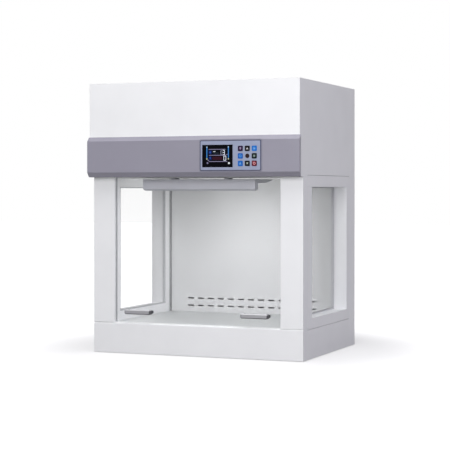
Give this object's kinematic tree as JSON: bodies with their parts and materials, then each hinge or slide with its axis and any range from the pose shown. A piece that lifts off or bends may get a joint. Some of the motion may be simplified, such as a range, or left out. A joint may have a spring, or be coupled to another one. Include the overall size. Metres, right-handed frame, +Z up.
{
  "type": "laminar flow hood",
  "caption": "Bench-top vertical laminar flow hood with glazed sides, a sliding glass sash, a chamfered control band and a filtered fan head.",
  "frame": {"origin": "on the floor, under the centre of the whole hood", "axes": "+Z up, front faces -Y, +X to the viewer's right from the front"},
  "size_m": [0.686, 0.545, 0.822],
  "materials": {
    "white_paint": "smooth white powder coat",
    "chamber_paint": "light grey powder coat",
    "band_paint": "satin lavender-grey powder coat",
    "shade_paint": "satin grey powder coat",
    "stainless": "brushed stainless sheet",
    "zinc_sheet": "plain zinc-coated sheet",
    "filter_frame": "extruded aluminium",
    "filter_paper": "pleated filter paper",
    "filter_mat": "white synthetic fleece",
    "gasket": "black foam rubber",
    "seal": "dark grey rubber",
    "clear_glass": "clear toughened glass",
    "guide_plastic": "grey low-friction plastic",
    "handle_metal": "satin anodised aluminium",
    "screw_steel": "stainless screws",
    "fan_metal": "pressed aluminium",
    "motor_metal": "black cast housing",
    "plate_film": "silver-blue printed overlay",
    "display_glass": "black display with lit graphics",
    "key_purple": "dark purple key",
    "key_blue": "blue key",
    "key_black": "black key",
    "key_red": "crimson key",
    "sensor_red": "dark red infrared window",
    "circuit": "green circuit board",
    "tube_glass": "white lamp tube",
    "holder_plastic": "white lampholder plastic",
    "inlet_plastic": "black moulded plastic"
  },
  "bodies": {
    "cabinet": {"back_panel": "chamber_paint", "base_pan": "zinc_sheet", "base_rails": "zinc_sheet", "control_band": "band_paint", "control_board": "circuit", "control_plate": "plate_film", "diffuser_plate": "chamber_paint", "display": "display_glass", "electrical_box": "zinc_sheet", "fan_motor": "motor_metal", "filter_gasket": "gasket", "filter_rails": "zinc_sheet", "front_apron": "white_paint", "guide_brackets": "zinc_sheet", "head_front_panel": "white_paint", "hepa_frame": "filter_frame", "hepa_pleats": "filter_paper", "inlet_ring": "fan_metal", "lamp_brackets": "shade_paint", "lamp_holders": "holder_plastic", "lamp_shade": "shade_paint", "lamp_tube": "tube_glass", "levelling_feet": "seal", "motor_bridge": "zinc_sheet", "pane_seal_left": "seal", "pane_seal_right": "seal", "pillar_left": "white_paint", "pillar_right": "white_paint", "plenum_box": "zinc_sheet", "power_inlet": "inlet_plastic", "prefilter_holder": "zinc_sheet", "prefilter_mat": "filter_mat", "rear_cover": "white_paint", "rear_screws": "screw_steel", "sash_guide_left": "guide_plastic", "sash_guide_right": "guide_plastic", "sensor_window": "sensor_red", "side_pane_left": "clear_glass", "side_pane_right": "clear_glass", "side_skin_left": "white_paint", "side_skin_right": "white_paint", "top_cover": "white_paint", "uv_tube": "tube_glass", "window_frame_left": "white_paint", "window_frame_right": "white_paint", "work_tray": "stainless"},
    "sash": {"sash_glass": "clear_glass", "sash_handle_left": "handle_metal", "sash_handle_right": "handle_metal", "handle_pads": "seal", "handle_screws": "screw_steel"},
    "fan_wheel": {"impeller": "fan_metal"},
    "key_set_body": {"key_set": "key_blue"},
    "key_down_body": {"key_down": "key_black"},
    "key_power_body": {"key_power": "key_red"},
    "key_socket_body": {"key_socket": "key_blue"},
    "key_fan_body": {"key_fan": "key_black"},
    "key_lamp_body": {"key_lamp": "key_purple"},
    "key_up_body": {"key_up": "key_black"},
    "key_uv_body": {"key_uv": "key_blue"}
  },
  "joints": [
    {"name": "sash_slide", "type": "slide", "parent": "cabinet", "child": "sash", "axis": [0, 0, 1], "range_m": [0, 0.25]},
    {"name": "fan_spin", "type": "hinge", "parent": "cabinet", "child": "fan_wheel", "pos_m": [0, 0.0086, 0.7], "axis": [0, 0, 1], "continuous": true},
    {"name": "key_set_press", "type": "slide", "parent": "cabinet", "child": "key_set_body", "axis": [0, 1, 0], "range_m": [0, 0.0008], "stiffness_N_per_m": 800, "springref_m": -0.001},
    {"name": "key_down_press", "type": "slide", "parent": "cabinet", "child": "key_down_body", "axis": [0, 1, 0], "range_m": [0, 0.0008], "stiffness_N_per_m": 800, "springref_m": -0.001},
    {"name": "key_power_press", "type": "slide", "parent": "cabinet", "child": "key_power_body", "axis": [0, 1, 0], "range_m": [0, 0.0008], "stiffness_N_per_m": 800, "springref_m": -0.001},
    {"name": "key_socket_press", "type": "slide", "parent": "cabinet", "child": "key_socket_body", "axis": [0, 1, 0], "range_m": [0, 0.0008], "stiffness_N_per_m": 800, "springref_m": -0.001},
    {"name": "key_fan_press", "type": "slide", "parent": "cabinet", "child": "key_fan_body", "axis": [0, 1, 0], "range_m": [0, 0.0008], "stiffness_N_per_m": 800, "springref_m": -0.001},
    {"name": "key_lamp_press", "type": "slide", "parent": "cabinet", "child": "key_lamp_body", "axis": [0, 1, 0], "range_m": [0, 0.0008], "stiffness_N_per_m": 800, "springref_m": -0.001},
    {"name": "key_up_press", "type": "slide", "parent": "cabinet", "child": "key_up_body", "axis": [0, 1, 0], "range_m": [0, 0.0008], "stiffness_N_per_m": 800, "springref_m": -0.001},
    {"name": "key_uv_press", "type": "slide", "parent": "cabinet", "child": "key_uv_body", "axis": [0, 1, 0], "range_m": [0, 0.0008], "stiffness_N_per_m": 800, "springref_m": -0.001}
  ]
}
